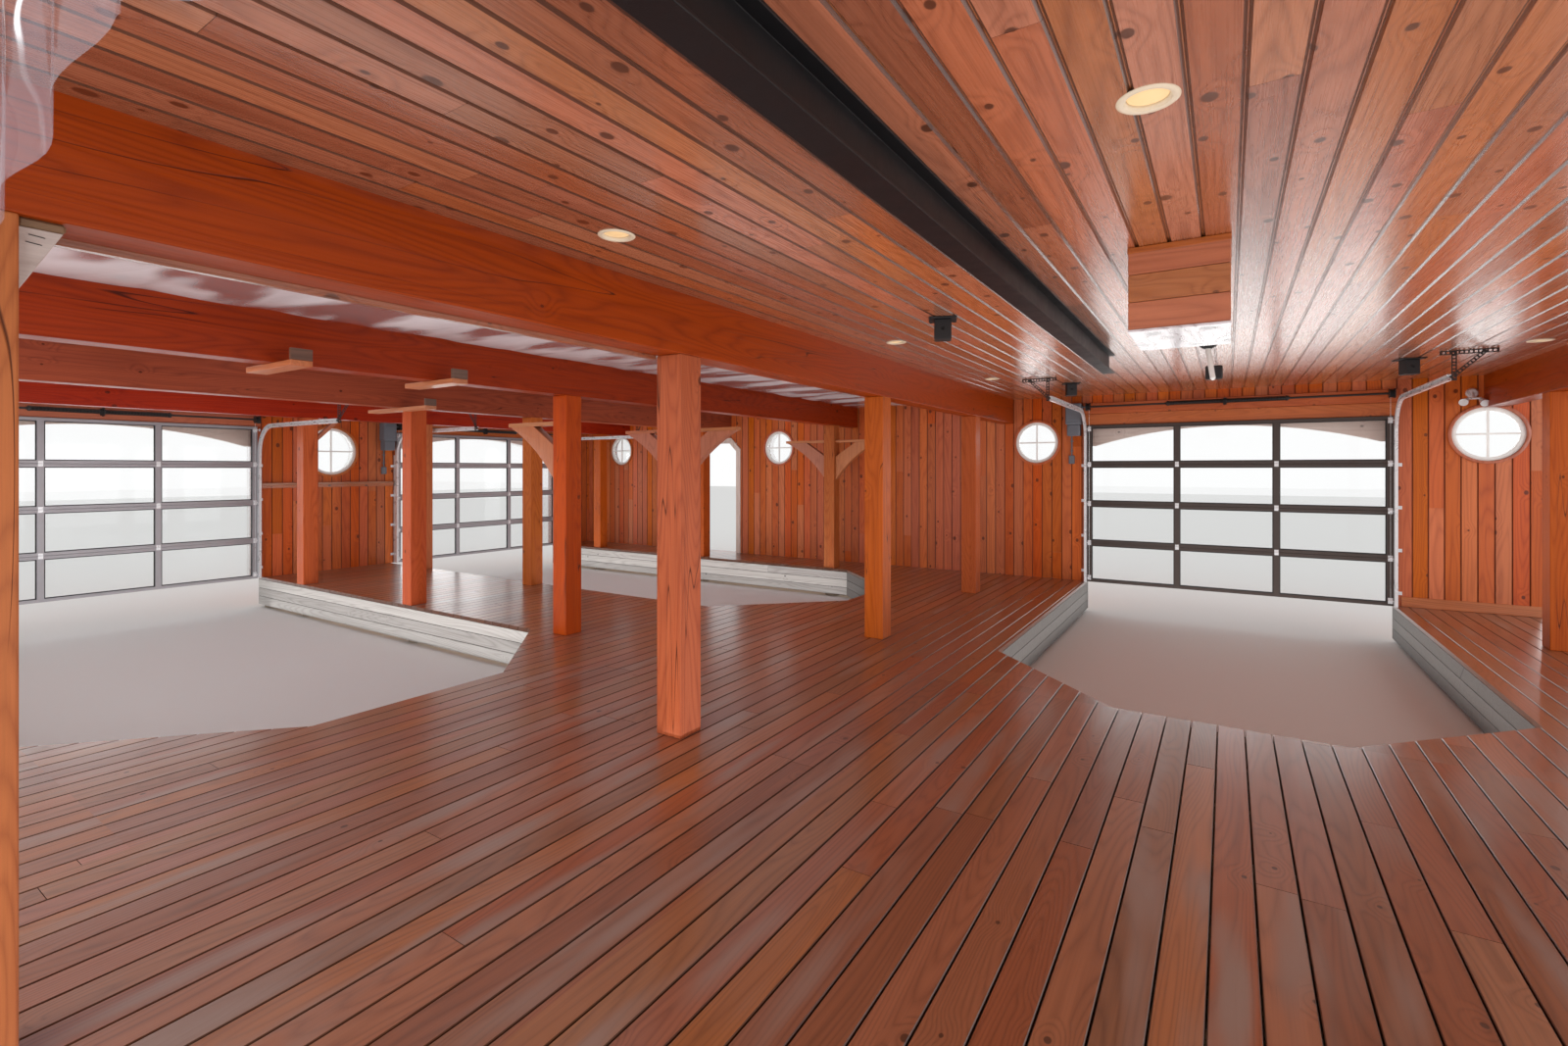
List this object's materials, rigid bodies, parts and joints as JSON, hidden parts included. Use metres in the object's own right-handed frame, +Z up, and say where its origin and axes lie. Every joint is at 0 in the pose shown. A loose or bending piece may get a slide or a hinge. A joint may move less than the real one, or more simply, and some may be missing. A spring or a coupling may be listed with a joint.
{
  "type": "timber boathouse with three slips",
  "caption": "Timber boathouse on piles: deck cut by boat slips, heavy posts and beams, board walls with glazed overhead doors and round windows, hipped roof, two open sides.",
  "frame": {"origin": "middle of the plan at the water level, where the piles meet the water", "axes": "+Z up, +Y towards the end wall, +X along the end wall away from the left wall"},
  "size_m": [16.02, 11.65, 5.9527],
  "materials": {
    "black_steel": "black paint",
    "bronze_frame": "dark bronze paint",
    "brown_trim": "brown paint",
    "cedar_trim": "clear finish",
    "ceiling_boards": "knotty boards, clear gloss",
    "ceiling_film": "shiny silver sheet",
    "clear_sheet": "clear sheet",
    "dark_steel": "dark steel",
    "deck_boards": "red-brown stained boards, half gloss",
    "framing": "sawn softwood",
    "glass": "clear",
    "grey_skirt": "weathered grey boards",
    "lamp_trim": "cream paint",
    "pale_wood": "pale weathered boards",
    "piles": "weathered round timber",
    "roof": "grey-brown shingles",
    "silver_frame": "plain milled",
    "stained_fir": "orange-red stained fir",
    "track_steel": "galvanised",
    "wall_boards": "knotty upright boards, orange stain",
    "white_paint": "white paint"
  },
  "bodies": {
    "root": {"piles": "piles", "dock_frame": "framing", "front_walk": "deck_boards", "slip_head_deck": "deck_boards", "middle_walk": "deck_boards", "back_walk": "deck_boards", "lounge_deck": "deck_boards", "end_slip_deck": "deck_boards", "right_walk": "deck_boards", "corner_decks": "deck_boards", "first_slip_skirt": "grey_skirt", "second_slip_skirt": "grey_skirt", "end_slip_skirt": "grey_skirt", "lounge_posts": "stained_fir", "slip_posts": "stained_fir", "right_posts": "stained_fir", "lounge_beam": "stained_fir", "slip_beams": "stained_fir", "right_beam": "stained_fir", "rack_arms": "stained_fir", "curved_braces": "stained_fir", "beam_arms": "pale_wood", "beam_wedge": "pale_wood", "knee_brace": "stained_fir", "left_wall_front": "wall_boards", "left_wall_middle": "wall_boards", "left_wall_back": "wall_boards", "left_wall_headers": "wall_boards", "end_wall_left": "wall_boards", "end_wall_middle": "wall_boards", "end_wall_right": "wall_boards", "end_wall_headers": "wall_boards", "first_door": "silver_frame", "second_door": "silver_frame", "end_door": "bronze_frame", "door_glass": "glass", "first_door_tracks": "track_steel", "second_door_tracks": "track_steel", "end_door_tracks": "track_steel", "track_hangers": "dark_steel", "spring_shafts": "dark_steel", "arched_heads": "brown_trim", "door_headers": "wall_boards", "window_frames": "white_paint", "window_glass": "glass", "window_rings": "cedar_trim", "entry_casing": "cedar_trim", "ceiling_joists": "framing", "rim_boards": "framing", "lounge_ceiling": "ceiling_boards", "slip_ceiling": "ceiling_film", "hoist_rail": "black_steel", "ceiling_box": "cedar_trim", "recessed_lights": "lamp_trim", "clear_curtain": "clear_sheet", "roof_front": "roof", "roof_back": "roof", "roof_left": "roof", "roof_right": "roof"}
  },
  "joints": []
}
